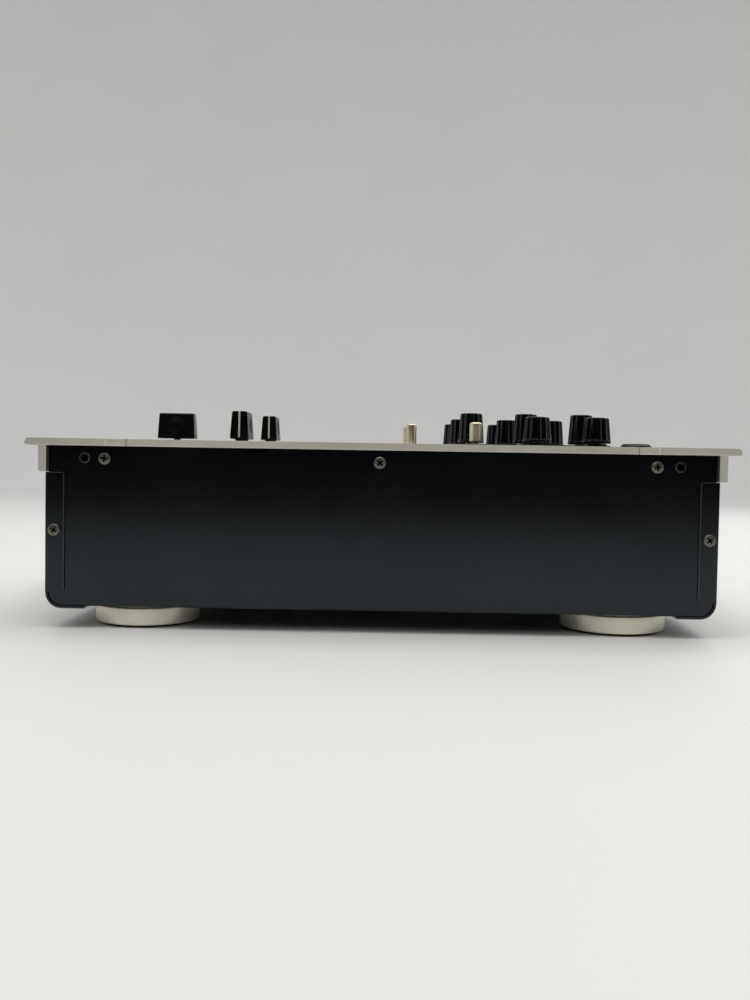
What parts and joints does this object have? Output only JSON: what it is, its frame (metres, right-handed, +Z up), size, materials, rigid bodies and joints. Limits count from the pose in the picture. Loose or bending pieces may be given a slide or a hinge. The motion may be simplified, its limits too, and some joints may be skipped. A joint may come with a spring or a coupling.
{
  "type": "dj mixer",
  "caption": "Battle-style audio mixer: an aluminium top plate with faders, rotary controls and toggles on a black steel case with disc feet.",
  "frame": {"origin": "on the surface that the mixer stands on, under the centre of its footprint", "axes": "+Z up, +Y towards the rear connectors, +X to the user's right"},
  "size_m": [0.254, 0.354, 0.1152],
  "materials": {
    "plate_aluminium": "satin champagne anodised",
    "bare_aluminium": "mill finish",
    "foot_aluminium": "turned, champagne anodised",
    "case_black": "satin black powder coat",
    "black_hardware": "black oxide",
    "pad_rubber": "matt",
    "nickel_screw": "nickel plated",
    "zinc_steel": "zinc plated",
    "board_plastic": "moulded",
    "black_plastic": "satin moulded",
    "knob_plastic": "semi-gloss moulded",
    "cap_plastic": "gloss moulded, cream line",
    "lever_metal": "champagne anodised",
    "gold_contact": "gold plated",
    "board_green": "solder mask over glass epoxy",
    "transformer_wrap": "polyester tape",
    "smoked_lens": "smoked"
  },
  "bodies": {
    "case": {"bottom_pan": "case_black", "case_screws": "nickel_screw", "control_boards": "board_green", "ear_nuts": "black_hardware", "fader_frames": "zinc_steel", "feet": "foot_aluminium", "foot_pads": "pad_rubber", "foot_screws": "nickel_screw", "front_cover": "case_black", "ground_post": "nickel_screw", "main_board": "board_green", "meter_lenses": "smoked_lens", "mic_jack": "black_plastic", "panel_overlay": "black_plastic", "panel_screws": "nickel_screw", "phones_jack": "black_plastic", "plate_rails": "bare_aluminium", "pot_bodies": "zinc_steel", "pot_nuts": "nickel_screw", "power_inlet": "black_plastic", "power_transformer": "transformer_wrap", "rca_blocks": "black_plastic", "rca_sockets": "gold_contact", "rear_panel": "case_black", "toggle_bodies": "board_plastic", "top_plate": "plate_aluminium"},
    "left_low_eq_control": {"left_low_eq_knob": "knob_plastic", "left_low_eq_shaft": "zinc_steel"},
    "right_low_eq_control": {"right_low_eq_knob": "knob_plastic", "right_low_eq_shaft": "zinc_steel"},
    "left_mid_eq_control": {"left_mid_eq_knob": "knob_plastic", "left_mid_eq_shaft": "zinc_steel"},
    "right_mid_eq_control": {"right_mid_eq_knob": "knob_plastic", "right_mid_eq_shaft": "zinc_steel"},
    "left_high_eq_control": {"left_high_eq_knob": "knob_plastic", "left_high_eq_shaft": "zinc_steel"},
    "right_high_eq_control": {"right_high_eq_knob": "knob_plastic", "right_high_eq_shaft": "zinc_steel"},
    "booth_control": {"booth_knob": "knob_plastic", "booth_shaft": "zinc_steel"},
    "balance_control": {"balance_knob": "knob_plastic", "balance_shaft": "zinc_steel"},
    "master_control": {"master_knob": "knob_plastic", "master_shaft": "zinc_steel"},
    "mic_tone_control": {"mic_tone_knob": "knob_plastic", "mic_tone_shaft": "zinc_steel"},
    "mic_level_control": {"mic_level_knob": "knob_plastic", "mic_level_shaft": "zinc_steel"},
    "left_input_switch": {"left_input_lever": "lever_metal"},
    "right_input_switch": {"right_input_lever": "lever_metal"},
    "mic_switch": {"mic_lever": "lever_metal"},
    "crossfader_slider": {"crossfader_cap": "cap_plastic", "crossfader_carriage": "zinc_steel"},
    "left_fader_slider": {"left_fader_cap": "cap_plastic", "left_fader_carriage": "zinc_steel"},
    "right_fader_slider": {"right_fader_cap": "cap_plastic", "right_fader_carriage": "zinc_steel"},
    "phones_level_control": {"phones_level_knob": "knob_plastic"},
    "cue_control": {"cue_slider": "cap_plastic"},
    "power_switch": {"power_rocker": "black_plastic"}
  },
  "joints": [
    {"name": "left_low_eq_turn", "type": "hinge", "parent": "case", "child": "left_low_eq_control", "pos_m": [-0.072, 0.0485, 0.096], "axis": [0, 0, -1], "range_deg": [-150, 150]},
    {"name": "right_low_eq_turn", "type": "hinge", "parent": "case", "child": "right_low_eq_control", "pos_m": [0.072, 0.0485, 0.096], "axis": [0, 0, -1], "range_deg": [-150, 150]},
    {"name": "left_mid_eq_turn", "type": "hinge", "parent": "case", "child": "left_mid_eq_control", "pos_m": [-0.072, 0.0784, 0.096], "axis": [0, 0, -1], "range_deg": [-150, 150]},
    {"name": "right_mid_eq_turn", "type": "hinge", "parent": "case", "child": "right_mid_eq_control", "pos_m": [0.072, 0.0784, 0.096], "axis": [0, 0, -1], "range_deg": [-150, 150]},
    {"name": "left_high_eq_turn", "type": "hinge", "parent": "case", "child": "left_high_eq_control", "pos_m": [-0.072, 0.1086, 0.096], "axis": [0, 0, -1], "range_deg": [-150, 150]},
    {"name": "right_high_eq_turn", "type": "hinge", "parent": "case", "child": "right_high_eq_control", "pos_m": [0.072, 0.1086, 0.096], "axis": [0, 0, -1], "range_deg": [-150, 150]},
    {"name": "booth_turn", "type": "hinge", "parent": "case", "child": "booth_control", "pos_m": [0, 0.0479, 0.096], "axis": [0, 0, -1], "range_deg": [-150, 150]},
    {"name": "balance_turn", "type": "hinge", "parent": "case", "child": "balance_control", "pos_m": [0, 0.0766, 0.096], "axis": [0, 0, -1], "range_deg": [-150, 150]},
    {"name": "master_turn", "type": "hinge", "parent": "case", "child": "master_control", "pos_m": [0, 0.1052, 0.096], "axis": [0, 0, -1], "range_deg": [-150, 150]},
    {"name": "mic_tone_turn", "type": "hinge", "parent": "case", "child": "mic_tone_control", "pos_m": [0.105, 0.0796, 0.096], "axis": [0, 0, -1], "range_deg": [-150, 150]},
    {"name": "mic_level_turn", "type": "hinge", "parent": "case", "child": "mic_level_control", "pos_m": [0.105, 0.1101, 0.096], "axis": [0, 0, -1], "range_deg": [-150, 150]},
    {"name": "left_input_flip", "type": "hinge", "parent": "case", "child": "left_input_switch", "pos_m": [-0.018, 0.0158, 0.087], "axis": [0, 1, 0], "range_deg": [-10, 10]},
    {"name": "right_input_flip", "type": "hinge", "parent": "case", "child": "right_input_switch", "pos_m": [0.018, 0.0171, 0.087], "axis": [0, 1, 0], "range_deg": [-10, 10]},
    {"name": "mic_flip", "type": "hinge", "parent": "case", "child": "mic_switch", "pos_m": [0.105, 0.048, 0.087], "axis": [1, 0, 0], "range_deg": [-10, 10]},
    {"name": "crossfader_slide", "type": "slide", "parent": "case", "child": "crossfader_slider", "axis": [1, 0, 0], "range_m": [-0.0225, 0.0225]},
    {"name": "left_fader_slide", "type": "slide", "parent": "case", "child": "left_fader_slider", "axis": [0, 1, 0], "range_m": [-0.0085, 0.0515]},
    {"name": "right_fader_slide", "type": "slide", "parent": "case", "child": "right_fader_slider", "axis": [0, 1, 0], "range_m": [-0.0026, 0.0574]},
    {"name": "phones_level_turn", "type": "hinge", "parent": "case", "child": "phones_level_control", "pos_m": [-0.042, -0.1676, 0.046], "axis": [0, 1, 0], "range_deg": [-150, 150]},
    {"name": "cue_slide", "type": "slide", "parent": "case", "child": "cue_control", "axis": [1, 0, 0], "range_m": [-0.01, 0.01]},
    {"name": "power_flip", "type": "hinge", "parent": "case", "child": "power_switch", "pos_m": [0.072, 0.1666, 0.0555], "axis": [0, 0, 1], "range_deg": [0, 14]}
  ]
}
